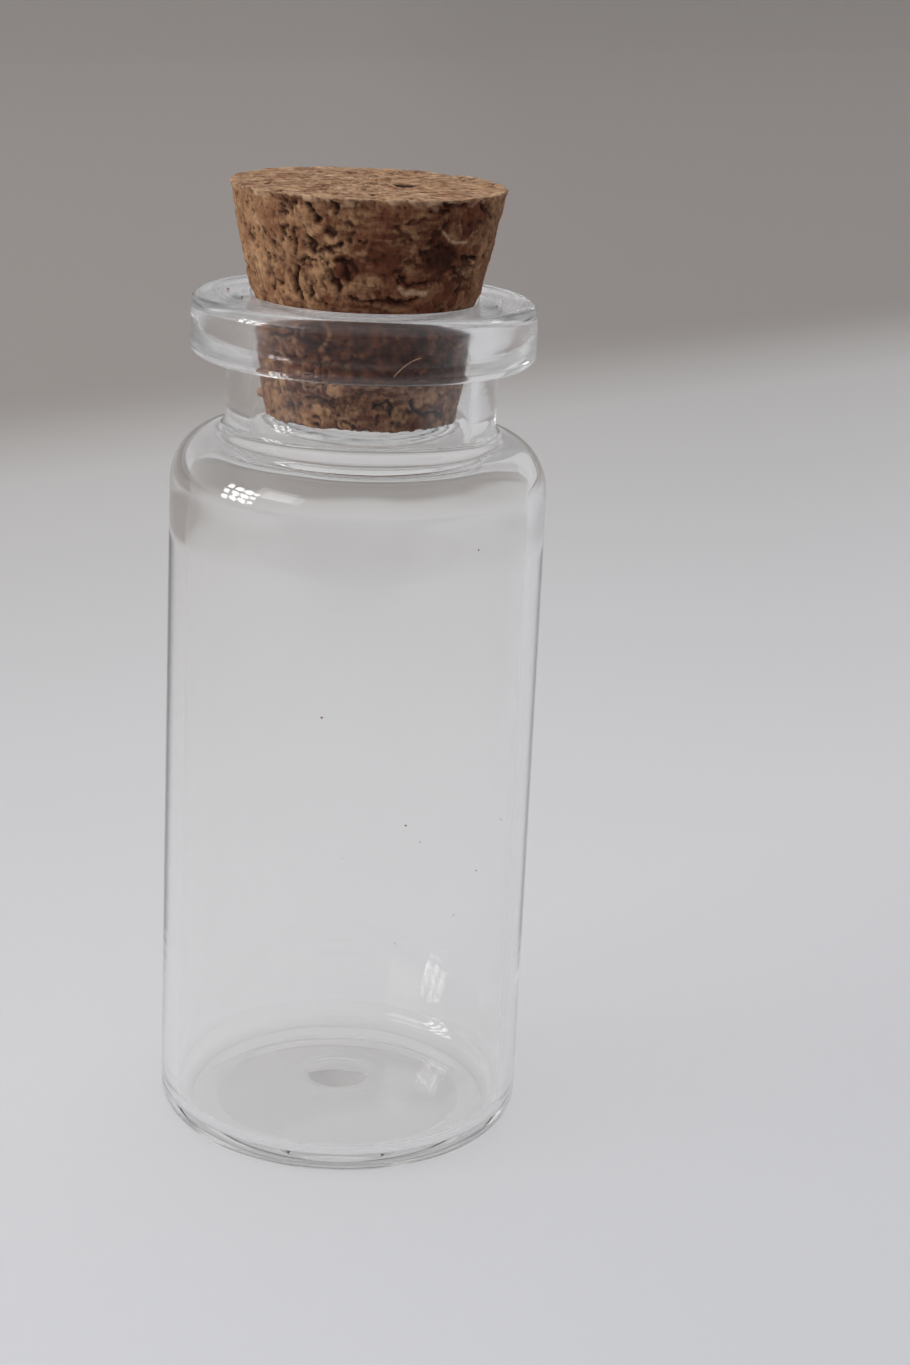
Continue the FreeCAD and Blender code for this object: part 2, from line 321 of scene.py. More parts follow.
def allowGlassPaths(scene):
    # light goes round inside the thick flange many times before it leaves
    scene.cycles.max_bounces = 32
    scene.cycles.glossy_bounces = 24
    scene.cycles.transmission_bounces = 32
    scene.cycles.transparent_max_bounces = 32


makeFloor(stage)
makeRoom(room)
makeWindow("windowPane", window)
makeWindow("softSheen", sheen)
allowGlassPaths(bpy.context.scene)
bpy.context.scene.view_settings.view_transform = "Standard"
print("stage ready")


# Outlines in millimetres, drawn on the XZ plane, then spun about the axis

def arcPoints(centre, radius, start, end, steps):
    # points from start to end degrees, the first one left out
    angles = [math.radians(start + (end - start) * i / steps) for i in range(1, steps + 1)]
    return [(centre[0] + radius * math.cos(a), centre[1] + radius * math.sin(a)) for a in angles]


def spinOutline(name, points, steps):
    bpy.ops.object.select_all(action="DESELECT")
    bpy.ops.mesh.primitive_plane_add(size=mm)
    piece = bpy.context.object
    piece.name = piece.data.name = name
    bpy.ops.object.mode_set(mode="EDIT")
    bpy.ops.mesh.select_all(action="SELECT")
    bpy.ops.mesh.merge(type="CENTER")
    here = (0, 0)
    for number, (x, z) in enumerate(points):
        step = ((x - here[0]) * mm, 0, (z - here[1]) * mm)
        if number == 0:
            bpy.ops.transform.translate(value=step)
        else:
            bpy.ops.mesh.extrude_region_move(TRANSFORM_OT_translate={"value": step})
        here = (x, z)
    bpy.ops.mesh.select_all(action="SELECT")
    bpy.ops.mesh.spin(steps=steps, angle=math.tau, center=(0, 0, 0), axis=(0, 0, 1))
    bpy.ops.mesh.select_all(action="SELECT")
    bpy.ops.mesh.remove_doubles(threshold=0.0005 * mm)
    bpy.ops.mesh.normals_make_consistent(inside=False)
    bpy.ops.object.mode_set(mode="OBJECT")
    return piece


# Wear: a spun piece is read as arrays of points, which are pressed in a little and written back

def readMesh(piece):
    # every point in millimetres, and the way out of the surface there
    count = len(piece.data.vertices)
    places, ways = np.empty(count * 3), np.empty(count * 3)
    piece.data.vertices.foreach_get("co", places)
    piece.data.vertex_normals.foreach_get("vector", ways)
    return places.reshape(-1, 3) / mm, ways.reshape(-1, 3)


def movePoints(piece, points):
    piece.data.vertices.foreach_set("co", (points * mm).ravel())
    piece.data.update()


def addLayer(piece, name, values):
    # a number for each point, which the piece's finish reads by its name
    layer = piece.data.attributes.new(name, "FLOAT", "POINT")
    layer.data.foreach_set("value", values.astype(np.float32))


def noiseAt(points, scale, shift, octaves=1):
    # noise for each point, with a pattern about scale millimetres across
    shift = Vector(shift)
    if octaves > 1:
        return np.array([noise.fractal(Vector(p) / scale + shift, 1.0, 2.0, octaves) for p in points])
    return np.array([noise.noise(Vector(p) / scale + shift) for p in points])


def ramp(values, start, end):
    return np.clip((values - start) / (end - start), 0, 1)


def smooth(values, start, end):
    # 0 before start, 1 after end, smooth in between
    share = ramp(values, start, end)
    return share * share * (3 - 2 * share)


# Glass vial: the same section as the solid it stands for, spun fine enough for clear refraction

vialShape = {
    "wall": 1.0, "heel": 1.7, "innerHeel": 1.4, "ringInner": 7.4, "pushUp": 0.8, "floor": 1.2,
    "button": 2.1, "buttonRise": 0.35, "shoulder": 3.3, "neckLength": 4.2, "neck": 7.85,
    "neckRoot": 0.5, "throat": 2.6, "bore": 6.3, "mouth": 0.45, "flange": 9.975,
    "flangeThickness": 3.5, "flangeTop": 0.75, "flangeFoot": 0.6, "flangeRoot": 0.4,
    "thicken": 0.15, "thickenFrom": 36.0,  # the wall gathers towards the shoulder
    "steps": 240,
}

# tooling marks: heights are measured from the flange's top
tooledParts = {
    "top": (-0.7, -0.4),  # where the marks start, and where they are full
    "side": (-3.6, -3.4), "sideRadius": (9.2, 9.8), "sideAmount": 0.35,
    "throat": -7.5, "throatReach": 1.6, "throatRadius": (-7.7, -7.5), "throatAmount": 0.6,
}

# how far the glass sinks where it isn't quite true
unevenness = {
    "body": 0.006, "neck": 0.020, "neckFrom": (36, 40),
    "levelBase": (0.02, 1.02),  # the standing ring stays true
    "broad": 4.2, "fine": 2.6,  # the sizes of the waves
}


def vialOutline(shape):
    low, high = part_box("glass_vial")
    radius, height = high.x / mm, high.z / mm
    inner = radius - shape["wall"]
    underside = height - shape["flangeThickness"]
    hollow = (shape["ringInner"] ** 2 + shape["pushUp"] ** 2) / (2 * shape["pushUp"])
    hollowCentre = (0, shape["pushUp"] - hollow)
    curve = (radius - shape["shoulder"], underside - shape["neckLength"] - shape["shoulder"])

    # outside, from the middle of the base up to the flange
    ringAngle = math.degrees(math.asin(shape["ringInner"] / hollow))
    points = [(0, shape["pushUp"])]
    points += arcPoints(hollowCentre, hollow, 90, 90 - ringAngle, 12)
    heel = shape["heel"]
    points += [(radius - heel, 0)]
    points += arcPoints((radius - heel, heel), heel, -90, 0, 14)
    points += [(radius, curve[1])]
    root = shape["neckRoot"]
    rootX = shape["neck"] + root
    rootZ = curve[1] + math.sqrt((shape["shoulder"] + root) ** 2 - (rootX - curve[0]) ** 2)
    rootAngle = math.degrees(math.atan2(rootZ - curve[1], rootX - curve[0]))
    points += arcPoints(curve, shape["shoulder"], 0, rootAngle, 20)
    points += arcPoints((rootX, rootZ), root, rootAngle + 180, 180, 8)
    foot = shape["flangeRoot"]
    points += [(shape["neck"], underside - foot)]
    points += arcPoints((shape["neck"] + foot, underside - foot), foot, 180, 90, 6)
    edge = shape["flangeFoot"]
    points += [(shape["flange"] - edge, underside)]
    points += arcPoints((shape["flange"] - edge, underside + edge), edge, -90, 0, 10)
    edge = shape["flangeTop"]
    points += [(shape["flange"], height - edge)]
    points += arcPoints((shape["flange"] - edge, height - edge), edge, 0, 90, 12)

    # inside, from the mouth down to the middle of the floor
    mouth = shape["mouth"]
    points += [(shape["bore"] + mouth, height)]
    points += arcPoints((shape["bore"] + mouth, height - mouth), mouth, 90, 180, 14)
    lining = shape["shoulder"] - shape["wall"] - shape["thicken"]
    throat = shape["throat"]
    throatX = shape["bore"] + throat
    throatZ = curve[1] + math.sqrt((lining + throat) ** 2 - (throatX - curve[0]) ** 2)
    throatAngle = math.degrees(math.atan2(throatZ - curve[1], throatX - curve[0]))
    points += [(shape["bore"], throatZ)]
    points += arcPoints((throatX, throatZ), throat, 180, throatAngle + 180, 12)
    points += arcPoints(curve, lining, throatAngle, 0, 14)
    floor = hollow + shape["floor"]
    heel = shape["innerHeel"]
    heelX = inner - heel
    heelZ = hollowCentre[1] + math.sqrt((floor + heel) ** 2 - heelX ** 2)
    heelAngle = math.degrees(math.atan2(heelZ - hollowCentre[1], heelX))
    reach = curve[1] - shape["thickenFrom"]
    for i in range(1, 16):
        share = i / 15
        gathered = shape["thicken"] * (1 - share) ** 2 * (1 + 2 * share)
        points += [(inner - gathered, curve[1] - reach * share)]
    points += [(inner, heelZ)]
    points += arcPoints((heelX, heelZ), heel, 0, heelAngle - 180, 14)
    buttonAngle = math.degrees(math.acos(shape["button"] / floor))
    points += arcPoints(hollowCentre, floor, heelAngle, buttonAngle, 10)
    foot = hollowCentre[1] + floor * math.sin(math.radians(buttonAngle))
    top = shape["pushUp"] + shape["floor"] + shape["buttonRise"]
    crown = (shape["button"] ** 2 + (top - foot) ** 2) / (2 * (top - foot))
    crownAngle = math.degrees(math.asin(shape["button"] / crown))
    points += arcPoints((0, top - crown), crown, 90 - crownAngle, 90, 8)
    return points


def tooled(radius, height, parts):
    # 1 on the flange's top, less on its side and inside the throat, 0 elsewhere
    top = ramp(height, *parts["top"])
    side = ramp(radius, *parts["sideRadius"]) * ramp(height, *parts["side"])
    inThroat = np.clip(1.2 - np.abs(height - parts["throat"]) / parts["throatReach"], 0, 1)
    throat = ramp(-radius, *parts["throatRadius"]) * inThroat
    return np.maximum(np.maximum(top, parts["sideAmount"] * side), parts["throatAmount"] * throat)


def unevenGlass(vial, settings):
    # glass shaped in a flame is never quite true: the neck and flange are a little uneven
    points, normals = readMesh(vial)
    radius, height = np.hypot(points[:, 0], points[:, 1]), points[:, 2]
    body, neck = settings["body"], settings["neck"]
    depth = body + (neck - body) * ramp(height, *settings["neckFrom"])
    depth = depth * ramp(height, *settings["levelBase"])
    broad = noiseAt(points, settings["broad"], (3.7, -3.7, 1.85))
    fine = noiseAt(points * (1, 1, 2.5), settings["fine"], (9.1, -9.1, 4.55))
    wave = np.clip(0.5 + 0.8 * broad + 0.4 * fine, 0, 1)
    movePoints(vial, points - normals * (depth * wave)[:, None])
    addLayer(vial, "tooled", tooled(radius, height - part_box("glass_vial")[1].z / mm, tooledParts))


clearGlass = {
    "ior": 1.5,
    "tint": (0.995, 0.992, 0.985),
    "shadow": (0.958, 0.955, 0.95),  # what one face lets through to the light behind it
    "depthColour": (0.80, 0.92, 0.84), "depthDensity": 2.0,
    "rings": 3.2, "wander": 60,  # tooling rings for each mm, and how fast they change going round
    "ringHeight": 0.000012, "frost": 0.30,
}


def glassFinish(look):
    finish = Finish("clearGlass")
    parts = finish.node("ShaderNodeSeparateXYZ", None, {"Vector": finish.place()})
    radius = (parts.out("X") * parts.out("X") + parts.out("Y") * parts.out("Y")) ** 0.5
    run = (radius - parts.out("Z")) * (1 / mm)  # grows all the way down the outside of the flange
    line = finish.node("ShaderNodeCombineXYZ", None, {
        "X": run * look["rings"],
        "Y": parts.out("X") * look["wander"], "Z": parts.out("Y") * look["wander"],
    }).out()
    marks = finish.attribute("tooled")
    rings = finish.noise(line, 1.0, 3, 0.55)
    bump = finish.node("ShaderNodeBump", None, {
        "Height": rings * marks, "Strength": 1.0, "Distance": look["ringHeight"],
    }).out()
    frost = (marks * 1.6 - 0.6).clamped() * (rings.between(0.3, 0.7) * 0.6 + 0.4) * look["frost"]
    glass = finish.node("ShaderNodeBsdfPrincipled", None, {
        "Base Color": (*look["tint"], 1), "Roughness": frost, "IOR": look["ior"],
        "Transmission Weight": 1.0, "Normal": bump,
    }).out()
    clear = finish.node("ShaderNodeBsdfTransparent", None, {"Color": (*look["shadow"], 1)}).out()
    path = finish.node("ShaderNodeLightPath")
    soft = path.out("Is Shadow Ray").larger(path.out("Is Diffuse Ray"))
    shader = finish.node("ShaderNodeMixShader", None, {0: soft, 1: glass, 2: clear}).out()
    depth = finish.node("ShaderNodeVolumeAbsorption", None, {
        "Color": (*look["depthColour"], 1), "Density": look["depthDensity"],
    }).out()
    return finish.shine(shader, depth)


def makeVial(shape):
    vial = spinOutline("vialGlass", vialOutline(shape), shape["steps"])
    bpy.ops.object.shade_smooth_by_angle(angle=math.radians(28))
    unevenGlass(vial, unevenness)
    vial.data.materials.append(glassFinish(clearGlass))
    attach(vial, "vial")
    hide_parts("glass_vial")
    return vial


vial = makeVial(vialShape)
print("vial ready")


# Cork: the tapered stopper, spun fine, then sunk with pits, cracks and worn edges, with a painted
# highlight on its rim and painted shade on the part in the neck

corkFoot, corkTop = (corner.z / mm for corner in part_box("cork_stopper"))
corkShape = {
    "tip": 5.5, "seat": 6.27, "swell": 6.65, "top": 7.95,
    "seatStart": 49.0, "seatEnd": 50.2, "swellHeight": 50.9, "tipEdge": 0.15, "topEdge": 0.15,
    "step": 0.115, "ring": 0.17, "steps": 432,
}

# wear placed by chance, besides what the lists below place
# these settings also hold the painted shade on the part in the neck and the painted highlight on the rim
corkWearAndLight = {
    "seed": 11,
    "bend": (0.42, 0.3), "ripple": (0.18, 0.11),  # size and reach of what pulls a mark out of shape
    "pits": 430, "pitHeights": (43.7, 56.5), "pitTallness": (0.5, 0.7, 1.0, 1.4, 2.4),
    "pitWidth": (-1.35, 0.45),  # of the logarithm: its mean and spread
    "inView": (-78, 82), "widestInView": 0.3,
    "pitDepth": (0.03, 0.24), "pitDark": (0.1, 0.75),  # of the faintest, and what the deepest adds
    "cracks": 80, "crackHeights": (43.8, 56.3), "crackDepth": 0.28,
    "noCracks": (-80, 84, 50.5),  # none between these degrees above this height
    "topPits": 240, "topReach": 7.2, "footPits": 60, "footReach": 5.1,
    "endDepth": (0.03, 0.11), "endDark": (0.25, 0.75),
    # painted shade: the part of the cork in the neck is darkened, as less light reaches it through the
    # thick glass, and less so at its lower end
    "insideTop": (-50.6, -50.2), "neckShade": -0.66,  # the part in the neck is darker
    "insideFoot": (-47.3, -46.2), "insideFootTone": 0.5,  # and paler again at its lower end
    # the rim's pale band is a painted highlight, where the top edge catches the light
    "rim": 0.34, "rimStart": (7.1, 7.5), "nickDepth": 0.2, "underDepth": 0.07,
    "raggedFrom": (-44.2, -43.8), "raggedStart": (4.9, 5.4), "raggedDepth": 0.08,
    "grainDepth": (0.03, 0.04), "unevenDepth": 0.06,
    "crumbDepth": 0.08, "crumbDark": 0.356, "creviceDepth": 0.07, "creviceDark": 0.5,
    "darkestFrom": -0.7, "darkest": 0.9,
}

# pits in the side: degrees round from the front, height, width, height of pit, tilt, depth
sidePits = [
    (-52, 56.5, 0.76, 0.2, 5, 0.5), (-61, 55.9, 0.39, 0.2, 0, 0.4), (-37, 56.1, 0.35, 0.25, 0, 0.7),
    (-33, 56.1, 0.33, 0.3, 0, 0.7), (-38, 55.7, 0.43, 0.25, 0, 0.6), (-23, 56.0, 0.5, 0.36, -30, 0.7),
    (-21, 55.6, 0.37, 0.3, -20, 0.9), (-13, 56.2, 0.35, 0.6, 0, 0.7), (-16, 54.9, 0.36, 0.55, 15, 0.8),
    (-39, 54.7, 0.3, 0.36, 0, 0.9), (-30, 54.9, 0.34, 0.25, 0, 0.5), (-33, 53.8, 0.22, 1.5, 4, 0.7),
    (-24, 54.0, 0.5, 0.6, 20, 0.9), (-20, 53.5, 0.55, 0.36, -30, 0.8), (-16, 53.8, 1.3, 0.2, 8, 0.8),
    (-24, 53.2, 0.32, 0.25, 0, 0.9), (-30, 52.9, 0.4, 0.3, 30, 0.7), (-63, 54.0, 0.42, 0.6, -10, 0.9),
    (-59, 54.0, 0.24, 0.42, 0, 0.7), (-44, 53.9, 0.48, 0.25, 0, 0.5), (-71, 52.7, 0.42, 0.27, 0, 0.7),
    (-63, 52.7, 0.28, 0.37, 0, 0.6), (-46, 53.0, 0.51, 0.47, 0, 0.7), (-67, 52.3, 0.56, 0.37, 0, 0.5),
    (-51, 52.3, 0.58, 0.77, -10, 0.7), (-73, 51.4, 0.42, 0.39, 0, 0.8), (-44, 51.7, 0.57, 0.43, 0, 0.9),
    (-47, 51.2, 0.35, 0.3, 0, 0.8), (-59, 50.9, 0.36, 0.25, 0, 0.9), (-49, 51.7, 0.36, 0.25, 0, 0.6),
    (-34, 51.7, 0.34, 1.34, 4, 0.9), (-26, 51.4, 0.5, 0.37, 20, 0.9), (-14, 52.1, 0.6, 0.6, 0, 1.0),
    (-9, 52.5, 0.3, 0.3, 0, 0.8), (-19, 52.5, 0.25, 0.2, 0, 0.8), (-7, 53.2, 0.62, 0.48, -10, 0.9),
    (-4, 53.0, 0.35, 0.25, 20, 0.7), (-7, 54.4, 0.35, 0.3, 20, 0.8), (-6, 54.9, 0.35, 0.45, 0, 0.6),
    (-4, 51.2, 0.8, 0.2, -10, 0.7), (-21, 50.8, 0.83, 0.2, -5, 0.6), (18, 55.6, 0.51, 0.2, 10, 0.6),
    (15, 55.0, 0.3, 0.3, 0, 0.6), (16, 54.6, 0.65, 0.2, 5, 0.6), (34, 56.2, 0.85, 0.2, 0, 0.9),
    (32, 56.0, 0.28, 0.25, 0, 0.7), (37, 55.7, 0.3, 0.3, 0, 0.5), (43, 55.5, 0.25, 0.25, 0, 0.7),
    (35, 55.3, 0.43, 0.3, 30, 0.8), (31, 54.9, 0.68, 0.25, 40, 0.8), (33, 54.2, 1.2, 0.27, 0, 0.9),
    (32, 53.5, 0.95, 0.72, 0, 0.7), (52, 53.4, 1.1, 0.38, 5, 1.0), (55, 52.9, 0.85, 0.38, 0, 0.7),
    (46, 52.7, 1.02, 0.26, -10, 0.9), (57, 56.1, 1.27, 0.2, -40, 0.9), (78, 56.4, 0.3, 0.25, 0, 0.9),
    (68, 53.4, 0.7, 0.22, 0, 0.8), (63, 55.6, 0.84, 0.15, 0, 0.6), (68, 55.1, 0.56, 0.16, -20, 0.6),
    (74, 54.1, 0.42, 0.22, 0, 0.8), (15, 52.3, 0.36, 0.37, -40, 0.9), (23, 52.1, 1.25, 0.2, 10, 0.8),
    (35, 52.5, 0.55, 0.6, 0, 0.8), (40, 51.7, 0.37, 0.26, 0, 0.5), (49, 51.5, 0.54, 0.2, 0, 0.6),
    (61, 51.4, 0.68, 0.38, 0, 0.6), (14, 51.2, 1.2, 0.2, -5, 1.0), (22, 51.4, 0.44, 0.2, 15, 0.9),
    (19, 50.8, 0.35, 0.25, 0, 0.7), (15, 52.8, 0.4, 0.2, 0, 0.6), (19, 53.4, 0.52, 0.2, 0, 0.6),
    (25, 53.6, 0.31, 0.4, 0, 0.6), (0, 54.5, 0.32, 0.2, 10, 0.5), (3, 51.9, 0.87, 0.18, -5, 0.4),
    (6, 53.4, 0.65, 0.18, 0, 0.4), (26, 56.1, 0.55, 0.25, 0, 0.6),
    (-45, 48.1, 0.66, 0.3, -20, 0.5), (-42, 47.3, 0.47, 0.35, 0, 0.5), (-30, 48.1, 0.32, 0.46, 0, 0.5),
    (-23, 48.8, 1.2, 0.6, -20, 1.0), (-17, 48.4, 0.46, 0.3, -30, 0.9), (-22, 47.6, 0.36, 0.52, 0, 0.8),
    (-29, 48.9, 0.7, 0.4, 0, 1.0), (-27, 48.0, 0.5, 0.4, 0, 0.9), (27, 49.3, 0.4, 0.9, 0, 1.0),
    (45, 48.0, 0.9, 0.35, 10, 0.9), (56, 47.9, 0.9, 0.3, 0, 0.9), (42, 46.9, 0.4, 0.5, 0, 0.8),
    (50, 44.5, 0.8, 0.3, -10, 0.9), (33, 44.8, 0.5, 0.4, 0, 0.9), (-41, 44.8, 0.35, 0.7, 0, 0.9),
    (-7, 47.6, 0.26, 0.3, 0, 0.9), (-2, 47.2, 0.28, 0.25, 0, 0.6), (29, 49.0, 0.34, 0.37, 0, 0.9),
    (25, 48.5, 0.33, 0.3, 0, 0.9), (38, 48.8, 0.65, 0.25, 20, 0.8), (43, 48.9, 0.39, 0.25, 0, 0.7),
    (49, 47.6, 1.8, 0.25, 0, 0.8), (39, 47.3, 0.37, 0.93, 8, 0.8), (-50, 45.6, 0.46, 0.25, 0, 0.7),
    (-35, 45.1, 0.24, 0.5, -20, 0.9), (-48, 44.7, 0.27, 0.37, 20, 0.6), (-44, 44.5, 0.26, 0.43, 10, 0.6),
    (-25, 44.4, 0.5, 0.4, 0, 1.0), (-9, 45.1, 0.2, 0.43, -30, 0.8), (-18, 45.3, 1.06, 0.16, 12, 0.8),
    (-1, 45.9, 1.33, 0.16, 14, 0.6), (12, 45.2, 0.5, 0.15, 20, 0.9), (15, 45.0, 0.2, 0.3, 0, 0.8),
    (9, 44.4, 0.2, 0.37, -20, 0.6), (27, 45.0, 0.34, 0.3, 0, 0.8), (39, 44.6, 0.62, 0.3, 0, 0.8),
    (-23, 43.9, 0.98, 0.2, -8, 0.7), (-36, 45.6, 0.57, 0.2, 0, 0.6), (20, 44.1, 0.61, 0.2, 0, 0.5),
]

# pits in the top: across, back, width, length, turn, depth
topPits = [
    (2.0, -0.5, 1.4, 2.2, 0, 1.0), (0.7, 0.1, 1.8, 0.6, 5, 0.9), (-1.2, 1.3, 1.4, 0.5, 0, 0.7),
    (5.2, 4.8, 0.7, 0.7, 0, 0.8), (6.0, 4.0, 0.6, 0.6, 0, 0.8), (4.7, 1.5, 0.8, 0.6, 0, 0.8),
    (-2.6, -3.6, 0.6, 0.8, 0, 0.8), (-5.0, 1.9, 0.5, 0.6, 0, 0.8), (-4.3, -0.3, 0.6, 0.6, 0, 0.7),
    (3.5, -2.8, 0.7, 0.5, 0, 0.8), (-0.1, 5.9, 0.6, 0.7, 0, 0.8), (1.3, 5.4, 0.7, 0.7, 0, 0.8),
    (6.7, 0.3, 0.5, 0.6, 0, 0.7), (-6.5, 0.9, 0.5, 0.6, 0, 0.7),
    (-3.5, -0.7, 0.25, 0.3, 0, 0.7), (-0.5, 0.9, 0.3, 0.3, 0, 0.6), (-0.4, -1.0, 0.4, 0.35, 0, 0.6),
    (-4.4, 3.0, 0.45, 0.5, 0, 0.7), (-6.6, 1.4, 0.67, 0.4, 0, 0.6), (-6.0, 0.7, 0.33, 0.4, 0, 0.5),
    (4.8, 2.8, 0.2, 0.3, 0, 0.5), (5.5, 3.6, 0.25, 0.3, 0, 0.5), (6.3, 2.9, 0.2, 0.3, 0, 0.5),
    (-2.2, 1.7, 0.7, 0.3, 0, 0.4), (-1.7, 4.0, 0.6, 0.4, 0, 0.4), (-5.4, 3.6, 0.45, 0.5, 0, 0.5),
    (2.8, -3.7, 0.3, 0.4, 0, 0.5), (4.3, -0.8, 0.8, 0.25, 0, 0.4), (-2.6, -1.4, 0.44, 0.4, 0, 0.5),
]

# cracks in the side: width, depth, and the places it passes (degrees round, height)
cracks = [
    (0.24, 0.8, [(-23, 53.7), (-19, 53.9), (-15, 54.0), (-11, 54.3)]),
    (0.18, 0.7, [(-33, 54.7), (-32, 54.1), (-33, 53.7)]),
    (0.24, 0.9, [(-33, 52.7), (-34, 52.0), (-33, 51.4), (-32, 51.0)]),
    (0.24, 0.8, [(-13, 53.3), (-9, 53.3), (-6, 53.1), (-4, 52.8)]),
    (0.16, 0.7, [(-7, 51.4), (-3, 51.1), (3, 51.1), (10, 51.2)]),
    (0.18, 0.9, [(11, 51.3), (16, 51.0), (22, 51.1), (26, 51.4)]),
    (0.20, 0.7, [(16, 52.6), (20, 52.0), (25, 52.1), (30, 52.3)]),
    (0.24, 0.7, [(28, 54.3), (30, 54.7), (33, 55.1), (36, 55.5)]),
    (0.16, 0.5, [(15, 55.5), (20, 55.5), (24, 55.8)]),
    (0.36, 0.6, [(26, 53.9), (32, 54.0), (37, 54.0), (41, 53.8)]),
    (0.24, 0.6, [(36, 52.7), (41, 52.9), (48, 52.9), (53, 53.1)]),
    (0.24, 0.9, [(47, 53.5), (53, 53.5), (61, 53.3)]),
    (0.20, 0.7, [(52, 56.5), (58, 56.1), (66, 55.6)]),
    (0.20, 0.8, [(-15, 56.6), (-12, 56.3), (-13, 55.9)]),
    (0.22, 0.7, [(-25, 56.3), (-22, 55.9), (-20, 55.5)]),
    (0.16, 0.7, [(-61, 54.6), (-62, 54.0), (-60, 53.5)]),
    (0.16, 0.6, [(-68, 52.9), (-65, 52.1)]),
    (0.16, 0.6, [(-47, 54.1), (-44, 53.5)]),
    (0.20, 0.7, [(-50, 53.2), (-50, 52.4), (-48, 51.9), (-50, 51.3)]),
    (0.22, 0.5, [(-7, 55.5), (-6, 55.1), (-7, 54.4)]),
    (0.22, 0.6, [(12, 55.3), (16, 54.9), (19, 54.6)]),
    (0.22, 0.7, [(-18, 54.9), (-15, 54.6), (-13, 54.9)]),
    (0.30, 0.9, [(-26, 54.5), (-23, 54.1), (-24, 53.8)]),
    (0.22, 0.6, [(-36, 56.4), (-34, 56.1), (-31, 56.3)]),
    (0.20, 0.6, [(-39, 55.7), (-36, 55.7)]),
    (0.16, 0.6, [(-68, 55.1), (-67, 54.6), (-65, 54.1)]),
    (0.18, 0.7, [(-31, 53.1), (-26, 53.4)]),
    (0.26, 0.8, [(-16, 52.8), (-15, 52.1), (-12, 51.8)]),
    (0.22, 0.8, [(-9, 52.9), (-8, 52.3)]),
    (0.16, 0.4, [(19, 53.6), (25, 53.1), (30, 53.2)]),
    (0.16, 0.3, [(-1, 53.6), (6, 53.4), (13, 53.6)]),
    (0.18, 0.5, [(44, 52.3), (51, 52.3), (63, 51.9)]),
    (0.24, 0.5, [(32, 53.4), (36, 52.8), (34, 52.4)]),
    (0.18, 0.8, [(32, 56.6), (36, 56.4), (44, 56.5)]),
    (0.16, 0.9, [(6, 45.1), (10, 45.4), (14, 45.6), (17, 45.2), (16, 44.7)]),
    (0.14, 0.8, [(8, 44.2), (10, 44.6)]),
    (0.16, 0.9, [(-50, 46.0), (-47, 45.5), (-45, 45.0), (-42, 44.8)]),
    (0.16, 0.8, [(-30, 45.5), (-25, 45.6), (-21, 45.5), (-15, 45.1)]),
    (0.18, 0.9, [(27, 45.6), (30, 45.0), (36, 44.7), (44, 44.8), (53, 44.4)]),
    (0.12, 0.5, [(-25, 45.2), (-12, 45.6), (0, 46.1), (10, 46.2)]),
    (0.12, 0.5, [(-18, 46.5), (-9, 46.3), (-4, 46.8), (8, 46.9)]),
]

# torn pale fibres in the side: width, how pale, and the places passed
slivers = [
    (0.20, 1.0, [(36, 54.8), (38, 54.5), (41, 54.4), (46, 54.35), (48, 54.4)]),
    (0.16, 0.8, [(33, 55.1), (36, 54.8)]),
    (0.14, 0.8, [(48, 54.4), (51, 54.7), (54, 54.9)]),
    (0.32, 1.0, [(16, 51.9), (19, 51.6), (22, 51.7), (29, 51.6)]),
    (0.16, 0.7, [(-27, 52.0), (-25, 51.6), (-23, 51.2), (-22, 51.0)]),
    (0.14, 0.5, [(52, 53.6), (58, 53.1), (58, 52.7), (52, 52.5), (46, 52.9)]),
    (0.30, 0.45, [(-57, 55.4), (-53, 54.5)]),
    (0.30, 0.4, [(-59, 53.0), (-58, 51.9), (-57, 51.1)]),
    (0.32, 0.4, [(27, 56.4), (29, 56.3)]),
]

# chips that stand out of the side: degrees round, height, width, height of chip, rise
looseChips = [(-86, 44.95, 0.7, 0.7, 0.38)]

# broad patches of colour: degrees round, height, width, height of patch, -1 dark to 1 pale
patches = [
    (-23, 55.1, 1.3, 0.7, 0.9), (-17, 54.4, 1.0, 0.6, 0.9), (-40, 51.9, 0.5, 1.5, 0.8),
    (-23, 52.3, 0.7, 0.9, 0.7), (-37, 54.4, 0.7, 1.4, 0.7), (-30, 56.2, 0.5, 0.5, 0.8),
    (-58, 53.6, 3.0, 5.0, 0.3), (-8, 53.0, 1.6, 1.2, -0.7), (5, 53.3, 3.0, 1.6, -0.35),
    (34, 53.5, 2.4, 2.0, -0.6), (44, 55.8, 1.8, 1.0, 0.1), (38, 55.0, 1.4, 0.5, 0.2),
    (3, 52.2, 1.8, 0.9, 0.2), (2, 47.9, 4.6, 3.0, -0.4), (-52, 48.2, 3.0, 3.0, -0.2),
    (38, 45.6, 2.4, 1.6, 0.5), (12, 44.8, 4.0, 1.6, 0.1), (-30, 44.8, 2.6, 1.6, 0.3),
    (-27, 48.7, 1.4, 1.0, -0.7), (27, 49.0, 0.8, 1.0, -0.9), (43, 47.6, 1.2, 0.7, -0.8),
    (-32, 47.0, 1.5, 0.6, 0.5), (8, 53.8, 2.2, 4.6, -0.25), (30, 54.4, 2.0, 2.4, -0.3),
    (-86, 44.95, 0.9, 0.9, 0.6), (-44, 47.0, 2.2, 1.4, 0.3),
]

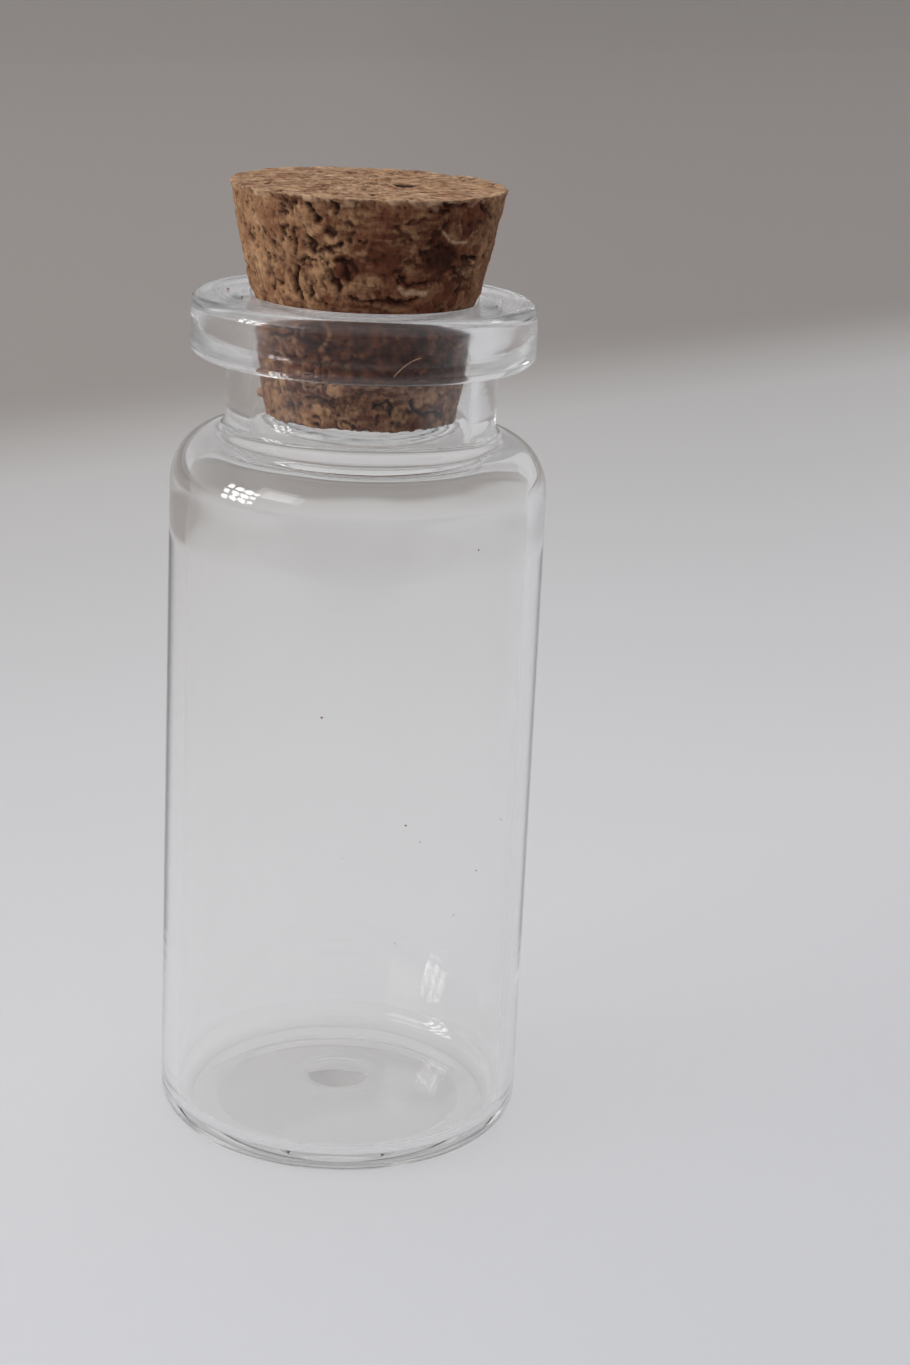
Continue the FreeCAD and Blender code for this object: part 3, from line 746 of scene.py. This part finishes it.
# how the side changes going round: degrees, tone, loose chips, upright crumbs, level streaks
sideChange = [
    (-180, 0.1, 0.8, 0.3, 0.3), (-115, 0.2, 0.6, 0.5, 0.1), (-80, 0.45, 0.3, 1.0, 0.0),
    (-52, 0.35, 0.4, 0.9, 0.0), (-40, 0.15, 1.0, 0.4, 0.1), (-14, 0.0, 1.1, 0.1, 0.3),
    (-6, -0.3, 0.5, 0.0, 0.7), (6, -0.4, 0.15, 0.0, 1.0), (22, -0.45, 0.25, 0.0, 0.9),
    (32, -0.7, 0.6, 0.0, 0.5), (50, -0.5, 0.8, 0.1, 0.3), (64, 0.0, 0.5, 0.5, 0.2),
    (80, 0.25, 0.4, 0.6, 0.1), (120, 0.1, 0.8, 0.3, 0.3), (180, 0.1, 0.8, 0.3, 0.3),
]


def pointsAlong(start, end, spacing):
    # points on a straight run, the first one left out
    length = math.dist(start, end)
    count = max(1, round(length / spacing))
    return [
        (start[0] + (end[0] - start[0]) * i / count, start[1] + (end[1] - start[1]) * i / count)
        for i in range(1, count + 1)
    ]


def corkOutline(shape):
    step, ring = shape["step"], shape["ring"]
    tipEdge, topEdge = shape["tipEdge"], shape["topEdge"]
    tipCentre = (shape["tip"] - tipEdge * 0.86, corkFoot + tipEdge)
    topCentre = (shape["top"] - topEdge * 1.23, corkTop - topEdge)
    topStart = (topCentre[0] + topEdge * 0.978, topCentre[1] - topEdge * 0.208)
    points = [(0, corkFoot)]
    points += pointsAlong(points[-1], (tipCentre[0], corkFoot), ring)
    points += arcPoints(tipCentre, tipEdge, -90, -9, 6)
    points += pointsAlong(points[-1], (shape["seat"], shape["seatStart"]), step)
    points += pointsAlong(points[-1], (shape["seat"], shape["seatEnd"]), step)
    points += pointsAlong(points[-1], (shape["swell"], shape["swellHeight"]), step)
    points += pointsAlong(points[-1], topStart, step)
    points += arcPoints(topCentre, topEdge, -12, 90, 7)
    points += pointsAlong(points[-1], (0, corkTop), ring)
    return points


def chipsAt(points, scale):
    # for each point, how near it is to the edge of its chip, and a number for the chip
    edges, tones = [], []
    for point in points:
        reach, nearest = noise.voronoi(Vector(point) / scale)
        edges.append(reach[1] - reach[0])
        tones.append((nearest[0].dot((127.1, 311.7, 74.7)) * 0.731) % 1)
    return np.array(edges), np.array(tones)


def spot(points, centre, along, up, width, height, tilt):
    # 1 in the middle of an oval mark and 0 outside it, on the surface it faces
    angle = math.radians(tilt)
    first = math.cos(angle) * along + math.sin(angle) * up
    second = math.cos(angle) * up - math.sin(angle) * along
    across, upward = (points - centre) @ first, (points - centre) @ second
    facing = np.cross(along, up)
    near = np.abs((points - centre) @ facing) < 1.2
    reach = np.sqrt((across / (width / 2)) ** 2 + (upward / (height / 2)) ** 2)
    return near * (1 - smooth(reach, 0.55, 1.3))


def sidePlace(degrees, height):
    angle, shape = math.radians(degrees), corkShape
    levels = [corkFoot, shape["seatStart"], shape["seatEnd"], shape["swellHeight"], corkTop]
    radii = [shape["tip"], shape["seat"], shape["seat"], shape["swell"], shape["top"]]
    radius = float(np.interp(height, levels, radii))
    return np.array([radius * math.sin(angle), -radius * math.cos(angle), height])


def sideSpot(points, degrees, height, width, tall, tilt):
    angle = math.radians(degrees)
    along = np.array([math.cos(angle), math.sin(angle), 0.0])
    return spot(points, sidePlace(degrees, height), along, np.array([0, 0, 1.0]), width, tall, tilt)


def stroke(points, width, path):
    # 1 along the middle of a line drawn on the side and 0 away from it
    places = [sidePlace(*step) for step in path]
    nearest = np.full(len(points), 9.0)
    for start, end in zip(places, places[1:]):
        run = end - start
        share = np.clip((points - start) @ run / (run @ run), 0, 1)
        nearest = np.minimum(nearest, np.linalg.norm(points - start - share[:, None] * run, axis=1))
    return 1 - smooth(nearest, 0.3 * width, 0.8 * width)


def topSpot(points, x, y, height, width, length, turn):
    centre = np.array([x, y, height])
    return spot(points, centre, np.array([1.0, 0, 0]), np.array([0, 1.0, 0]), width, length, turn)


class WearAndLight:
    # for each point of the cork: how deep it is pressed in, and how dark, pale or patchy it is, painted
    # shade on the part in the neck and a painted highlight on the rim included
    def __init__(self, points, settings):
        self.points, self.height = points, points[:, 2]
        self.radius = np.hypot(points[:, 0], points[:, 1])
        self.top, self.foot = self.height.max(), self.height.min()
        self.side = smooth(-self.height, -self.top + 0.05, -self.top + 0.3)
        (bend, bendReach), (ripple, rippleReach) = settings["bend"], settings["ripple"]
        self.warp = np.stack([self.noise(bend, 10 * k + 3) for k in range(3)], 1) * bendReach
        small = np.stack([self.noise(ripple, 10 * k + 7) for k in range(3)], 1) * rippleReach
        self.moved = points + self.warp + small  # marks are looked up here, so none is a clean oval
        self.sink, self.pit, self.pale, self.patch = (np.zeros(len(points)) for k in range(4))

    def noise(self, scale, offset, octaves=1, stretch=(1, 1, 1)):
        return noiseAt(self.points * stretch, scale, (offset, offset * 0.7, -offset), octaves)

    def press(self, mark, depth, dark):
        self.sink = np.maximum(self.sink, mark * depth)
        self.pit = np.maximum(self.pit, mark * dark)

    def whiten(self, mark):
        self.pale = np.maximum(self.pale, mark)


def pressPits(wearAndLight, dice, settings):
    pits = list(sidePits)
    left, right = settings["inView"]
    while len(pits) < settings["pits"]:
        degrees, level = dice.uniform(-180, 180), dice.uniform(*settings["pitHeights"])
        wide = dice.lognormvariate(*settings["pitWidth"])
        if left < degrees < right and wide > settings["widestInView"]:
            continue
        tall = wide * dice.choice(settings["pitTallness"])
        pits.append((degrees, level, wide, tall, dice.uniform(-30, 30), dice.uniform(0.1, 0.8)))
    (depth, deeper), (dark, darker) = settings["pitDepth"], settings["pitDark"]
    for *place, amount in pits:
        wearAndLight.press(sideSpot(wearAndLight.moved, *place), depth + deeper * amount, dark + darker * amount)


def pressCracks(wearAndLight, dice, settings):
    lines = list(cracks)
    left, right, above = settings["noCracks"]
    while len(lines) < len(cracks) + settings["cracks"]:
        degrees, level = dice.uniform(-180, 180), dice.uniform(*settings["crackHeights"])
        if left < degrees < right and level > above:
            continue
        path = [(degrees, level)]
        for turn in range(3):
            degrees, level = degrees + dice.uniform(1, 7), level + dice.uniform(-0.4, 0.4)
            path.append((degrees, level))
        lines.append((dice.uniform(0.1, 0.24), dice.uniform(0.5, 1.0), path))
    for width, amount, path in lines:
        mark = stroke(wearAndLight.points + wearAndLight.warp * 0.4, width, path)
        wearAndLight.press(mark, settings["crackDepth"] * amount, amount)


def pressEnds(wearAndLight, dice, settings):
    pits = [(x, y, wearAndLight.top, *rest) for x, y, *rest in topPits]
    levels = [(wearAndLight.top, settings["topReach"])] * settings["topPits"]
    levels += [(wearAndLight.foot, settings["footReach"])] * settings["footPits"]
    for level, edge in levels:
        reach, turn = edge * math.sqrt(dice.random()), dice.uniform(0, math.tau)
        wide, long = dice.uniform(0.15, 0.6), dice.uniform(0.10, 0.34)
        place = (reach * math.cos(turn), reach * math.sin(turn), level, wide, long)
        pits.append((*place, dice.uniform(-12, 12), dice.uniform(0.2, 0.9)))
    (depth, deeper), (dark, darker) = settings["endDepth"], settings["endDark"]
    for *place, amount in pits:
        wearAndLight.press(topSpot(wearAndLight.moved, *place), depth + deeper * amount, dark + darker * amount)


def paintMarks(wearAndLight):
    for width, amount, path in slivers:
        wearAndLight.whiten(stroke(wearAndLight.points + wearAndLight.warp * 0.15, 0.8 * width, path) * 0.7 * amount)
    for degrees, level, wide, tall, amount in patches:
        wearAndLight.patch += amount * sideSpot(wearAndLight.points + wearAndLight.warp * 1.6, degrees, level, wide, tall, 0)


def paintSide(wearAndLight, settings):
    # chips of different tones, upright crumbs, level streaks, and painted shade on the part in the neck
    bent = wearAndLight.points + wearAndLight.warp * 3
    around = np.degrees(np.arctan2(bent[:, 0], -bent[:, 1]))
    steps = np.array(sideChange)
    tone, looseness, upright, level = (np.interp(around, steps[:, 0], steps[:, k]) for k in range(1, 5))
    edges, chips = chipsAt(wearAndLight.points * (1, 1, 0.8) + wearAndLight.warp * 0.8, 0.75)
    inside = smooth(-wearAndLight.height, *settings["insideTop"])
    lower = smooth(-wearAndLight.height, *settings["insideFoot"])
    # painted shade: the part in the neck is darkened, less so at its lower end
    neckShade = settings["neckShade"] + settings["insideFootTone"] * lower - 0.7 * tone
    wearAndLight.patch += 0.35 * wearAndLight.noise(2.1, 31, 3)
    wearAndLight.patch += wearAndLight.side * (tone + looseness * 1.1 * (chips - 0.5))
    wearAndLight.patch += wearAndLight.side * upright * 0.6 * wearAndLight.noise(0.34, 37, 2, (1, 1, 0.3))
    wearAndLight.patch += wearAndLight.side * level * 0.5 * wearAndLight.noise(0.5, 39, 2, (0.4, 0.4, 1.7))
    wearAndLight.patch += inside * (0.7 * wearAndLight.noise(0.5, 83, 3, (1, 1, 1.3)) + neckShade)
    specks = smooth(wearAndLight.noise(0.17, 81, 1, (1, 1, 0.5)), 0.28, 0.5) * np.maximum(upright, 0.5 * inside)
    wearAndLight.press(specks, 0.1, 0.8 * wearAndLight.side)
    looseness = np.maximum(looseness, 0.5 * inside)
    loose = smooth(wearAndLight.noise(1.7, 61, 2) + 0.8 * looseness, 0.35, 0.75)
    return wearAndLight.side * loose * (1 - smooth(edges, 0.01, 0.10))  # the crevices between the chips


def edgeWearAndHighlight(wearAndLight, settings):
    # a rim with a pale painted highlight where the top edge catches the light, nicked here and there,
    # and a ragged lower end
    outer = smooth(wearAndLight.radius, *settings["rimStart"])
    rimEdge = wearAndLight.top - settings["rim"] - 0.5 * wearAndLight.noise(1.1, 41, 2, (1, 1, 0.2))
    rim = smooth(wearAndLight.height - rimEdge, -0.08, 0.08) * outer
    # painted highlight: the rim is made paler where the top edge catches the light
    wearAndLight.whiten(rim * (0.4 + 0.6 * wearAndLight.noise(0.7, 85, 2)))
    nick = smooth(wearAndLight.noise(0.45, 43), 0.25, 0.5) * rim
    under = outer * (1 - rim) * smooth(wearAndLight.height, wearAndLight.top - 1.3, wearAndLight.top - 0.6)
    lower = smooth(-wearAndLight.height, *settings["raggedFrom"]) * smooth(wearAndLight.radius, *settings["raggedStart"])
    ragged = lower * smooth(wearAndLight.noise(0.5, 47), -0.1, 0.5)
    nick, ragged = settings["nickDepth"] * nick, settings["raggedDepth"] * ragged
    under = settings["underDepth"] * under
    wearAndLight.sink = wearAndLight.sink * (1 - 0.8 * wearAndLight.pale) + nick + ragged + under


def wearTop(wearAndLight):
    flat = 1 - wearAndLight.side
    wearAndLight.whiten(flat * (0.32 + 0.7 * wearAndLight.noise(0.4, 67, 3, (0.45, 1, 1))))
    wearAndLight.patch += flat * 1.3 * wearAndLight.noise(0.26, 71, 3, (0.4, 1, 1))


def roughenCork(cork, shape, settings):
    points, normals = readMesh(cork)
    wearAndLight, dice = WearAndLight(points, settings), random.Random(settings["seed"])
    pressPits(wearAndLight, dice, settings)
    pressCracks(wearAndLight, dice, settings)
    pressEnds(wearAndLight, dice, settings)
    paintMarks(wearAndLight)
    crevice = paintSide(wearAndLight, settings)
    edgeWearAndHighlight(wearAndLight, settings)
    wearTop(wearAndLight)
    fine, broad = settings["grainDepth"]
    grain = fine * (wearAndLight.noise(0.32, 51, 2) + 0.4) + broad * (wearAndLight.noise(1.3, 53) + 0.5)
    crumbs = smooth(wearAndLight.noise(0.22, 57, 1, (1, 1, 0.55)), 0.1, 0.5)
    uneven = settings["unevenDepth"] * smooth(wearAndLight.noise(1.9, 63, 2), -0.3, 0.5)
    sink = wearAndLight.sink + grain + settings["crumbDepth"] * crumbs + uneven
    sink += settings["creviceDepth"] * crevice
    seat = smooth(-np.abs(wearAndLight.height - (shape["seatStart"] + shape["seatEnd"]) / 2), -1.0, -0.5)
    sink = np.maximum(sink * (1 - 0.6 * seat), 0)
    for degrees, level, wide, tall, rise in looseChips:
        sink -= rise * sideSpot(points + wearAndLight.warp * 0.5, degrees, level, wide, tall, 0)
    movePoints(cork, points - normals * sink[:, None])
    darkest = settings["darkest"] * np.clip(settings["darkestFrom"] - wearAndLight.patch, 0, 0.9)
    pit = np.maximum(wearAndLight.pit, darkest) + settings["crumbDark"] * crumbs
    addLayer(cork, "pit", np.clip(pit + settings["creviceDark"] * crevice, 0, 1))
    addLayer(cork, "pale", np.clip(wearAndLight.pale, 0, 1))
    addLayer(cork, "patch", wearAndLight.patch)


corkLook = {
    "tan": (0.39, 0.22, 0.116), "brown": (0.094, 0.031, 0.016), "dark": (0.032, 0.011, 0.007),
    "worn": (0.60, 0.42, 0.265), "red": (0.16, 0.052, 0.026),
    "fine": 2600, "cells": 6500, "streaks": (700, 2600, 3200), "blotches": 520,  # how small each is
    "roughness": 0.88, "gloss": 0.12, "grainHeight": 0.00006,
}


def corkFinish(look):
    finish = Finish("naturalCork")
    patch, pit, pale = (finish.attribute(name) for name in ("patch", "pit", "pale"))
    fine = finish.noise(finish.place(), look["fine"], 5, 0.62)
    cells = finish.noise(finish.place(), look["cells"], 3, 0.7)
    streaks = finish.noise(finish.stretched(look["streaks"]), 1.0, 4, 0.6, 0.4)
    tone = (patch * 0.7 + (fine - 0.5) * 1.3 + (streaks - 0.5) * 0.8 + 0.5).clamped()
    colour = finish.mix(tone, look["brown"], look["tan"])
    reddish = finish.noise(finish.place(), look["blotches"], 3, 0.5).between(0.45, 0.68)
    colour = finish.mix(reddish * 0.5, colour, look["red"])
    speckle = cells.between(0.56, 0.72) * 0.55
    colour = finish.mix(speckle, colour, look["dark"])
    # pale fibres and worn spots, and the painted highlight on the rim
    colour = finish.mix((pale * (0.45 + fine)).clamped() * 0.8, colour, look["worn"])
    colour = finish.mix((pit * 1.25 - (1 - fine) * 0.25).clamped(), colour, look["dark"])
    rise = fine * 0.6 + cells * 0.4 + streaks * 0.5
    bump = finish.node("ShaderNodeBump", None, {
        "Height": rise, "Strength": 0.9, "Distance": look["grainHeight"],
    }).out()
    shader = finish.node("ShaderNodeBsdfPrincipled", None, {
        "Base Color": colour, "Roughness": look["roughness"], "Specular IOR Level": look["gloss"],
        "Normal": bump,
    }).out()
    return finish.shine(shader)


def makeCork(shape):
    cork = spinOutline("corkStopper", corkOutline(shape), shape["steps"])
    bpy.ops.object.shade_smooth()
    roughenCork(cork, shape, corkWearAndLight)
    cork.data.materials.append(corkFinish(corkLook))
    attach(cork, "cork")
    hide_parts("cork_stopper")
    return cork


cork = makeCork(corkShape)
print("cork ready")


# Crumbs: what the cork has shed, lying on the flange and clinging to the glass

crumbShape = {
    "detail": 2, "thin": 0.45, "uneven": 0.35, "pit": 0.1,
    # on the flange: degrees round from the front, distance from the axis, height, width
    "lying": [(-88, 7.82, 50.5, 0.24), (-69, 7.39, 50.5, 0.20), (71, 7.87, 50.5, 0.18)],
    # on a wall that faces the axis or the camera: the same
    "clinging": [
        (27, 7.85, 45.5, 0.16), (41, 9.99, 37.7, 0.13), (-9, 9.99, 28.3, 0.17), (19, 9.99, 21.9, 0.15),
        (24, 9.99, 20.8, 0.09), (-1, 9.99, 20.0, 0.08), (47, 9.99, 18.3, 0.12), (38, 9.99, 15.9, 0.10),
        (17, 9.99, 14.7, 0.09), (59, 9.99, 20.9, 0.12),
    ],
}
fibreShape = {
    "radius": 0.022, "out": 9.985, "pale": 0.5,
    "path": [(9.9, 47.64), (11.7, 48.08), (14.1, 48.4), (16.0, 48.57), (18.3, 48.67)],
}


def finishScrap(piece, name, layer, value):
    piece.name = piece.data.name = name
    addLayer(piece, layer, np.full(len(piece.data.vertices), value))
    bpy.ops.object.shade_smooth()
    piece.data.materials.append(bpy.data.materials["naturalCork"])
    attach(piece, "vial")


def makeCrumbs(shape):
    lying = [(*place, True) for place in shape["lying"]]
    clinging = [(*place, False) for place in shape["clinging"]]
    bpy.ops.object.select_all(action="DESELECT")
    crumbs = []
    for degrees, out, height, width, flat in lying + clinging:
        half = 0.5 * shape["thin"] * width
        angle = math.radians(degrees)
        reach = out if flat else out - half if out > 9 else out + half
        place = (reach * math.sin(angle), -reach * math.cos(angle), height + half * flat)
        squash = (1, 0.8, shape["thin"]) if flat else (1, shape["thin"], 0.8)
        bpy.ops.mesh.primitive_ico_sphere_add(
            subdivisions=shape["detail"], radius=width / 2 * mm, scale=squash,
            rotation=(0, 0, angle), location=Vector(place) * mm,
        )
        crumbs.append(bpy.context.object)
        bpy.ops.object.transform_apply()
        for vertex in crumbs[-1].data.vertices:
            centre = Vector(place) * mm
            bump = noise.noise(vertex.co / (0.1 * mm))
            vertex.co = centre + (vertex.co - centre) * (1 - shape["uneven"] * abs(bump))
    for crumb in crumbs:
        crumb.select_set(True)
    bpy.ops.object.join()
    finishScrap(bpy.context.object, "corkCrumbs", "pit", shape["pit"])


def makeFibre(shape):
    bpy.ops.object.select_all(action="DESELECT")
    bpy.ops.curve.primitive_nurbs_path_add()
    fibre = bpy.context.object
    line = fibre.data.splines[0]
    for point, (degrees, height) in zip(line.points, shape["path"]):
        angle = math.radians(degrees)
        place = (shape["out"] * math.sin(angle), -shape["out"] * math.cos(angle), height)
        point.co = (*(Vector(place) * mm), 1)
    line.use_endpoint_u = True
    fibre.data.bevel_depth = shape["radius"] * mm
    fibre.data.use_fill_caps = True
    bpy.ops.object.convert(target="MESH")
    finishScrap(fibre, "corkFibre", "pale", shape["pale"])


makeCrumbs(crumbShape)
makeFibre(fibreShape)
print("crumbs ready")
